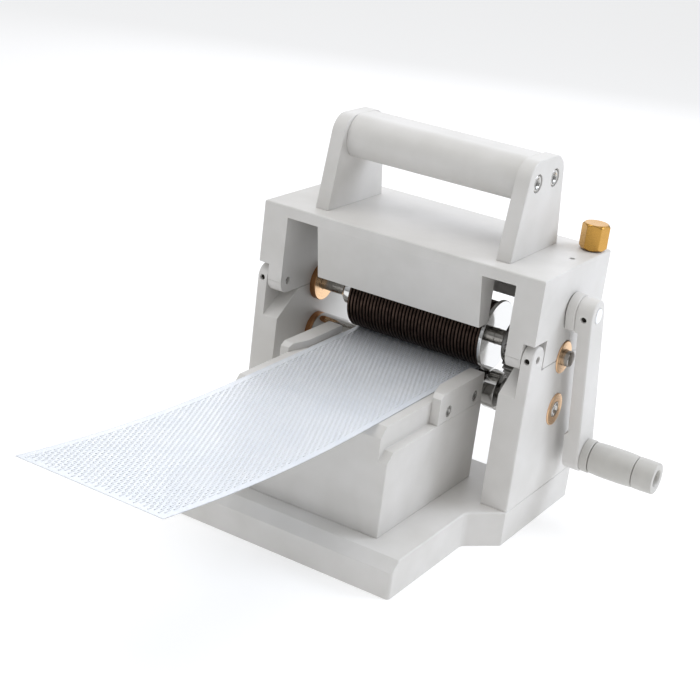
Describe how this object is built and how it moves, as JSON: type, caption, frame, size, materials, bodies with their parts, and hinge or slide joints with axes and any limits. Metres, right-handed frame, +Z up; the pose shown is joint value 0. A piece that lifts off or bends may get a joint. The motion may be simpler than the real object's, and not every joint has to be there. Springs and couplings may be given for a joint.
{
  "type": "hand-cranked tabletop roller press",
  "caption": "Tabletop roller press: a hand crank turns a ringed upper roller over a plain lower one and feeds a ribbed sheet; the head tilts open by its carry handle.",
  "frame": {"origin": "underside of the base, straight below the roller axes, at mid width", "axes": "+Z up, +Y towards the exit side, +X towards the crank"},
  "size_m": [0.2196, 0.31, 0.1923],
  "materials": {
    "coated_aluminium": "satin light grey coating",
    "grip_plastic": "matt, turned",
    "white_plug": "smooth",
    "black_oxide_steel": "black oxide, oiled",
    "polished_steel": "polished",
    "ground_steel": "ground",
    "gear_steel": "hobbed, lightly oiled",
    "screw_steel": "stainless",
    "dark_screw_steel": "black oxide",
    "bearing_bronze": "machined bronze",
    "knob_brass": "satin turned brass",
    "pad_rubber": "matt",
    "clear_sheet_plastic": "moulded ribs, translucent"
  },
  "bodies": {
    "frame": {"base_plate": "coated_aluminium", "base_screws": "screw_steel", "rubber_pads": "pad_rubber", "wall_left": "coated_aluminium", "wall_right": "coated_aluminium", "hinge_pins": "ground_steel", "ear_set_screws": "dark_screw_steel", "upper_bush_left": "bearing_bronze", "upper_bush_right": "bearing_bronze", "lower_bush_left": "bearing_bronze", "lower_bush_right": "bearing_bronze", "feed_table": "coated_aluminium", "rail_left": "coated_aluminium", "rail_right": "coated_aluminium", "rail_screws": "screw_steel"},
    "head": {"head": "coated_aluminium", "head_set_screws": "dark_screw_steel", "handle_upright_left": "coated_aluminium", "handle_upright_right": "coated_aluminium", "handle_bar": "coated_aluminium", "handle_screws": "screw_steel", "handle_foot_screws": "screw_steel", "crank_bush": "bearing_bronze"},
    "upper_roller_assembly": {"upper_roller": "black_oxide_steel", "upper_shaft": "ground_steel", "guide_disc": "polished_steel", "left_collar": "polished_steel", "roller_gear": "gear_steel"},
    "lower_roller_assembly": {"lower_roller": "polished_steel", "lower_shaft": "ground_steel", "lower_gear": "gear_steel"},
    "crank": {"crank_shaft": "ground_steel", "crank_pinion": "gear_steel", "crank_shaft_clip": "dark_screw_steel", "crank_hub_pad": "coated_aluminium", "crank_arm": "coated_aluminium", "crank_set_screw": "dark_screw_steel", "crank_hub_plug": "white_plug", "grip_axle": "ground_steel", "grip_collar": "grip_plastic", "grip_cap": "grip_plastic"},
    "grip": {"grip_barrel": "grip_plastic"},
    "right_knob": {"knob_right": "knob_brass", "knob_shank_right": "knob_brass"},
    "left_knob": {"knob_left": "knob_brass", "knob_shank_left": "knob_brass"},
    "sheet": {"carrier_sheet": "clear_sheet_plastic"}
  },
  "joints": [
    {"name": "head_tilt", "type": "hinge", "parent": "frame", "child": "head", "pos_m": [0, -0.033, 0.1005], "axis": [1, 0, 0], "range_deg": [0, 90]},
    {"name": "upper_roller_spin", "type": "hinge", "parent": "frame", "child": "upper_roller_assembly", "pos_m": [0, 0, 0.0934], "axis": [1, 0, 0], "continuous": true},
    {"name": "lower_roller_spin", "type": "hinge", "parent": "frame", "child": "lower_roller_assembly", "pos_m": [0, 0, 0.0644], "axis": [1, 0, 0], "continuous": true},
    {"name": "crank_spin", "type": "hinge", "parent": "head", "child": "crank", "pos_m": [0, 0, 0.1199], "axis": [1, 0, 0], "continuous": true},
    {"name": "grip_spin", "type": "hinge", "parent": "crank", "child": "grip", "pos_m": [0.113, 0.01912, 0.03708], "axis": [1, 0, 0], "continuous": true},
    {"name": "right_knob_turn", "type": "hinge", "parent": "head", "child": "right_knob", "pos_m": [0.075, 0.031, 0.15], "axis": [0, 0, 1], "continuous": true},
    {"name": "left_knob_turn", "type": "hinge", "parent": "head", "child": "left_knob", "pos_m": [-0.075, 0.031, 0.15], "axis": [0, 0, 1], "continuous": true},
    {"name": "sheet_slide", "type": "slide", "parent": "frame", "child": "sheet", "axis": [0, 1, 0], "range_m": [-0.05, 0.1]}
  ],
  "couplings": [
    {"joint": "crank_spin", "follows": "upper_roller_spin", "ratio": -2.1176},
    {"joint": "lower_roller_spin", "follows": "upper_roller_spin", "ratio": -1.6364}
  ]
}
